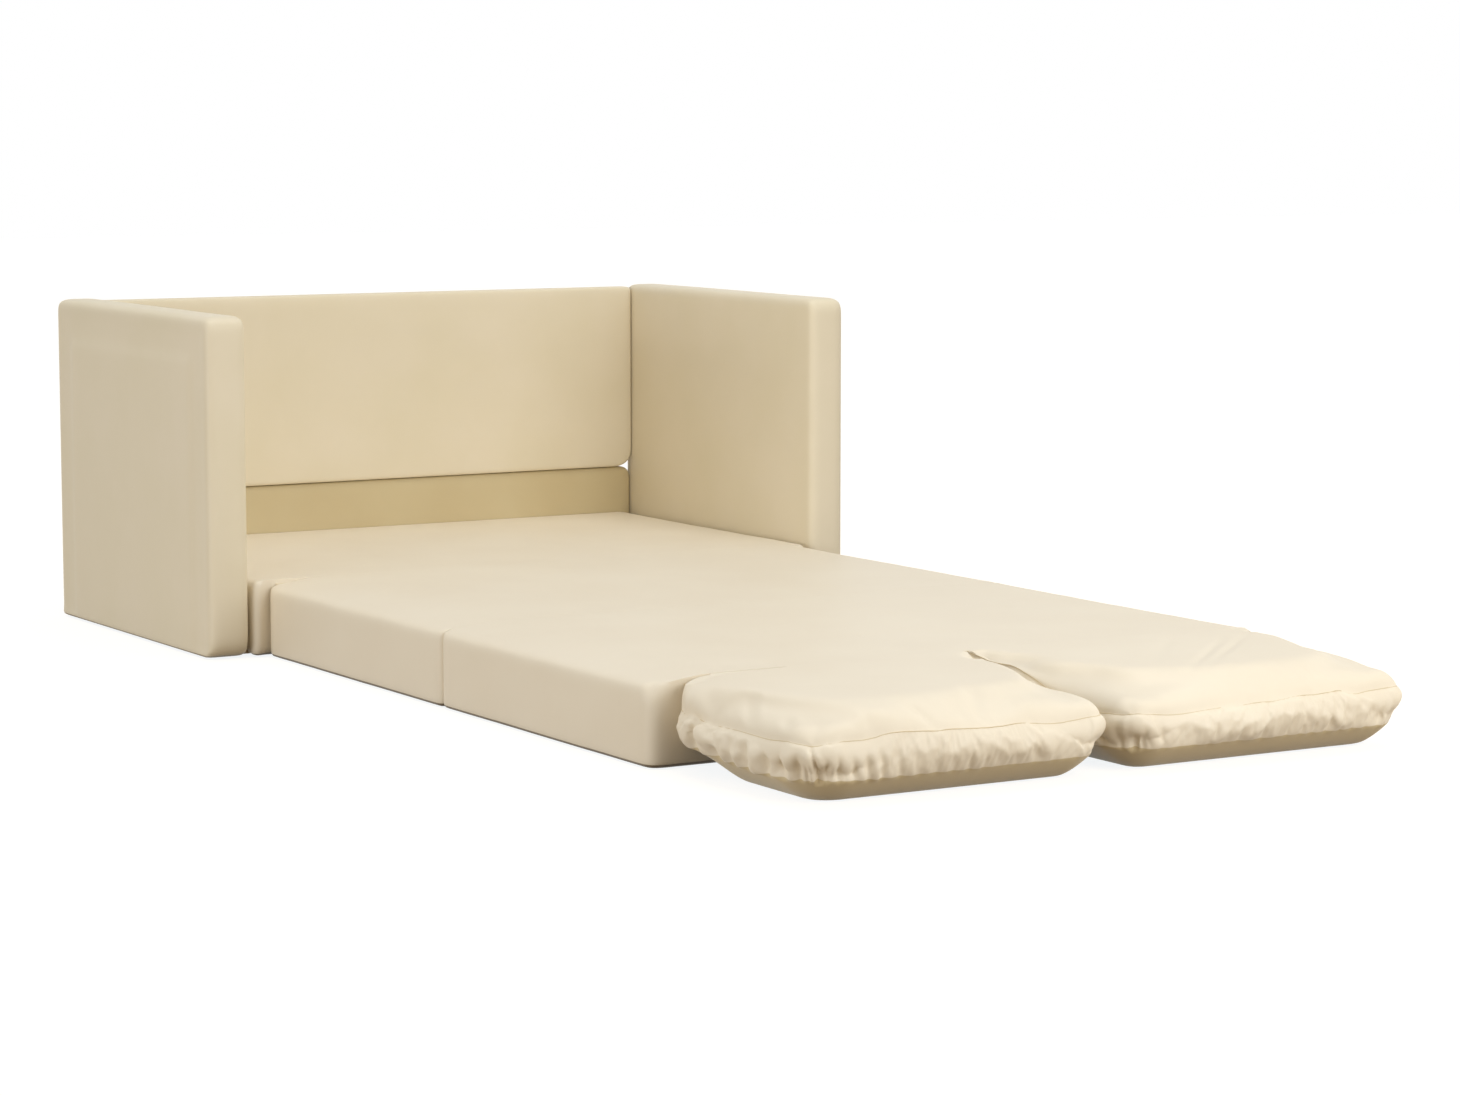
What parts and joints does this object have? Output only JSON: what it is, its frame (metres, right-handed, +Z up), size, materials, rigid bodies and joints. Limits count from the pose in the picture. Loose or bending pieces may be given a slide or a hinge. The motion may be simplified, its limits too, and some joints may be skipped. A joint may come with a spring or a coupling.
{
  "type": "sofa bed",
  "caption": "Low fold-out sofa bed: padded arms and back around a folding foam mattress with sewn-on pillows, shown opened flat as a bed.",
  "frame": {"origin": "middle of the footprint of the opened sofa bed, on the floor", "axes": "+X across the width, +Y along the length towards the back panel, +Z up"},
  "size_m": [1.1964, 2.2632, 0.55],
  "materials": {
    "arm_leather": "satin",
    "rail_leather": "satin",
    "cushion_leather": "satin",
    "piping": "satin",
    "pine": "matte",
    "plywood": "matte",
    "zinc": "satin",
    "nylon": "matte"
  },
  "bodies": {
    "sofa_frame": {"left_arm_cover": "arm_leather", "left_arm_frame": "pine", "left_arm_board": "plywood", "left_front_glide": "nylon", "left_rear_glide": "nylon", "right_arm_cover": "arm_leather", "right_arm_frame": "pine", "right_arm_board": "plywood", "right_front_glide": "nylon", "right_rear_glide": "nylon", "back_cover": "arm_leather", "back_frame": "pine", "rear_rail_cover": "rail_leather", "rear_rail_board": "plywood", "left_lower_back_bolt": "zinc", "left_lower_back_washer": "zinc", "left_upper_back_bolt": "zinc", "left_upper_back_washer": "zinc", "left_rail_bolt": "zinc", "left_rail_washer": "zinc", "right_lower_back_bolt": "zinc", "right_lower_back_washer": "zinc", "right_upper_back_bolt": "zinc", "right_upper_back_washer": "zinc", "right_rail_bolt": "zinc", "right_rail_washer": "zinc", "seat_board": "plywood", "left_front_seat_bracket": "zinc", "left_rear_seat_bracket": "zinc", "right_front_seat_bracket": "zinc", "right_rear_seat_bracket": "zinc", "seat_section": "cushion_leather", "seat_seam_welt": "piping"},
    "middle_section": {"middle_section": "cushion_leather", "middle_seam_welt": "piping"},
    "end_section": {"end_section": "cushion_leather", "left_pillow_welt": "piping", "right_pillow_welt": "piping"},
    "left_pillow": {"left_pillow": "cushion_leather"},
    "right_pillow": {"right_pillow": "cushion_leather"}
  },
  "joints": [
    {"name": "middle_fold", "type": "hinge", "parent": "sofa_frame", "child": "middle_section", "pos_m": [0, 0.47985, 0.1263], "axis": [-1, 0, 0], "range_deg": [0, 180]},
    {"name": "end_fold", "type": "hinge", "parent": "middle_section", "child": "end_section", "pos_m": [0, -0.13915, -0.0003], "axis": [1, 0, 0], "range_deg": [0, 180]},
    {"name": "left_pillow_fold", "type": "hinge", "parent": "end_section", "child": "left_pillow", "pos_m": [0, -0.76115, 0.1263], "axis": [-1, 0, 0], "range_deg": [0, 180]},
    {"name": "right_pillow_fold", "type": "hinge", "parent": "end_section", "child": "right_pillow", "pos_m": [0, -0.76115, 0.1263], "axis": [-1, 0, 0], "range_deg": [0, 180]}
  ],
  "couplings": [
    {"joint": "end_fold", "follows": "middle_fold", "ratio": 1}
  ]
}
